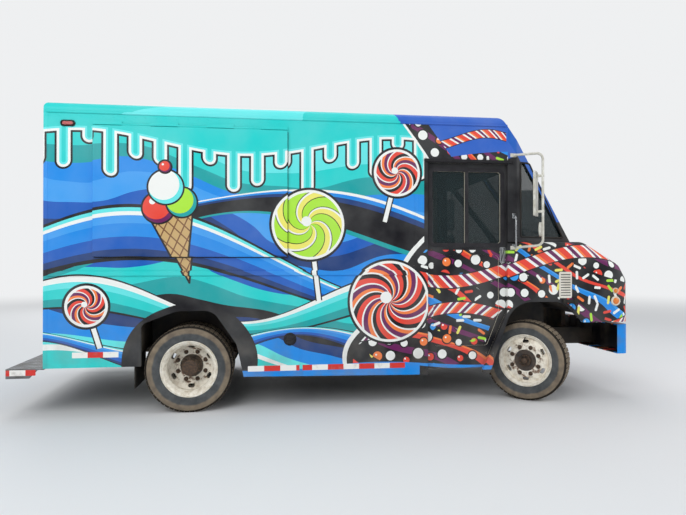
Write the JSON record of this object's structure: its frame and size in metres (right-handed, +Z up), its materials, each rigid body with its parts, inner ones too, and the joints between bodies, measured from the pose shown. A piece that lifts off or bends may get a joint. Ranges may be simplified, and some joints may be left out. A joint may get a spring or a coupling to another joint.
{
  "type": "ice cream truck",
  "caption": "Walk-in van ice cream truck with a serving hatch, sliding cab doors, rear doors, tilting nose, steered front wheels and twin rear wheels.",
  "frame": {"origin": "on the ground, at the middle of the overall length and width", "axes": "+X to the front of the truck, +Y to its left side, +Z up"},
  "size_m": [5.908, 2.8, 2.81],
  "materials": {
    "mural_paint": "gloss paint in flat colours",
    "roof_paint": "gloss paint",
    "cab_paint": "gloss paint",
    "louver_white": "gloss paint",
    "glass": "clear",
    "chassis_black": "worn satin paint",
    "axle_iron": "dirty",
    "floor_metal": "dull",
    "tread_plate": "worn",
    "bumper_paint": "gloss paint",
    "engine_grey": "dirty",
    "tank_metal": "dusty",
    "exhaust_steel": "rusty",
    "cover_plastic": "grained",
    "seat_vinyl": "matt",
    "mirror_paint": "cream enamel",
    "lamp_red": "ribbed lens",
    "lamp_amber": "ribbed lens",
    "flap_rubber": "dusty",
    "wheel_cream": "worn enamel",
    "tyre_rubber": "dusty",
    "grille_black": "satin"
  },
  "bodies": {
    "truck_body": {"wall_right": "mural_paint", "wall_left": "mural_paint", "roof": "roof_paint", "rear_frame": "mural_paint", "cab_front": "cab_paint", "cab_glass": "glass", "cowl": "cab_paint", "louver_panels": "louver_white", "floor": "floor_metal", "wheelhouses": "chassis_black", "chassis_frame": "chassis_black", "front_axle": "axle_iron", "rear_axle": "axle_iron", "leaf_springs": "axle_iron", "engine": "engine_grey", "engine_cover": "cover_plastic", "dash": "cover_plastic", "driver_seat": "seat_vinyl", "front_bumper": "bumper_paint", "rear_step": "tread_plate", "mirrors": "mirror_paint", "fuel_tank": "tank_metal", "exhaust": "exhaust_steel", "body_lamps": "lamp_red", "mud_flaps": "flap_rubber"},
    "nose": {"nose_shell": "cab_paint", "grille": "grille_black", "nose_lamps": "lamp_amber"},
    "side_door_right": {"door_right": "mural_paint", "door_glass_right": "glass"},
    "side_door_left": {"door_left": "mural_paint", "door_glass_left": "glass"},
    "rear_leaf_right": {"rear_door_right": "mural_paint"},
    "rear_leaf_left": {"rear_door_left": "mural_paint"},
    "serving_hatch": {"hatch": "mural_paint"},
    "front_knuckle_right": {"knuckle_right": "axle_iron"},
    "front_knuckle_left": {"knuckle_left": "axle_iron"},
    "track_rod": {"tie_rod": "axle_iron"},
    "front_wheel_right": {"rim_front_right": "wheel_cream", "tyre_front_right": "tyre_rubber"},
    "front_wheel_left": {"rim_front_left": "wheel_cream", "tyre_front_left": "tyre_rubber"},
    "rear_wheels_right": {"rim_rear_right": "wheel_cream", "tyres_rear_right": "tyre_rubber"},
    "rear_wheels_left": {"rim_rear_left": "wheel_cream", "tyres_rear_left": "tyre_rubber"},
    "hand_wheel": {"steering_wheel": "cover_plastic"}
  },
  "joints": [
    {"name": "steer_right", "type": "hinge", "parent": "truck_body", "child": "front_knuckle_right", "pos_m": [1.978, -0.935, 0.394], "axis": [0, 0, 1], "range_deg": [-2, 78]},
    {"name": "steer_left", "type": "hinge", "parent": "truck_body", "child": "front_knuckle_left", "pos_m": [1.978, 0.935, 0.394], "axis": [0, 0, 1], "range_deg": [-4, 80]},
    {"name": "track_rod_swing", "type": "hinge", "parent": "front_knuckle_right", "child": "track_rod", "pos_m": [1.86143, -0.8406, 0.3], "axis": [0, 0, 1], "range_deg": [-80, 4]},
    {"name": "steering_wheel_turn", "type": "hinge", "parent": "truck_body", "child": "hand_wheel", "pos_m": [1.5, 0.56, 1.33], "axis": [-0.5736, 0, 0.8192], "range_deg": [-48, 1264]},
    {"name": "front_wheel_right_spin", "type": "hinge", "parent": "front_knuckle_right", "child": "front_wheel_right", "pos_m": [1.90248, -1.02826, 0.394], "axis": [0.6293, 0.7771, 0], "continuous": true},
    {"name": "front_wheel_left_spin", "type": "hinge", "parent": "front_knuckle_left", "child": "front_wheel_left", "pos_m": [2.05352, 1.02826, 0.394], "axis": [0.6293, 0.7771, 0], "continuous": true},
    {"name": "rear_wheels_right_spin", "type": "hinge", "parent": "truck_body", "child": "rear_wheels_right", "pos_m": [-1.4, -0.91, 0.394], "axis": [0, 1, 0], "continuous": true},
    {"name": "rear_wheels_left_spin", "type": "hinge", "parent": "truck_body", "child": "rear_wheels_left", "pos_m": [-1.4, 0.91, 0.394], "axis": [0, 1, 0], "continuous": true},
    {"name": "side_door_right_slide", "type": "slide", "parent": "truck_body", "child": "side_door_right", "axis": [-1, 0, 0], "range_m": [0, 0.8]},
    {"name": "side_door_left_slide", "type": "slide", "parent": "truck_body", "child": "side_door_left", "axis": [-1, 0, 0], "range_m": [0, 0.8]},
    {"name": "rear_door_right_swing", "type": "hinge", "parent": "truck_body", "child": "rear_leaf_right", "pos_m": [-2.657, -0.91, 1.57], "axis": [0, 0, 1], "range_deg": [0, 170]},
    {"name": "rear_door_left_swing", "type": "hinge", "parent": "truck_body", "child": "rear_leaf_left", "pos_m": [-2.657, 0.91, 1.57], "axis": [0, 0, -1], "range_deg": [0, 170]},
    {"name": "hatch_lift", "type": "hinge", "parent": "truck_body", "child": "serving_hatch", "pos_m": [-1.3655, -1.194, 2.599], "axis": [-1, 0, 0], "range_deg": [0, 90]},
    {"name": "nose_tilt", "type": "hinge", "parent": "truck_body", "child": "nose", "pos_m": [2.895, 0, 0.757], "axis": [0, 1, 0], "range_deg": [0, 60]}
  ],
  "couplings": [
    {"joint": "steer_left", "follows": "steer_right", "ratio": 1},
    {"joint": "track_rod_swing", "follows": "steer_right", "ratio": -1},
    {"joint": "steering_wheel_turn", "follows": "steer_right", "ratio": 16}
  ]
}
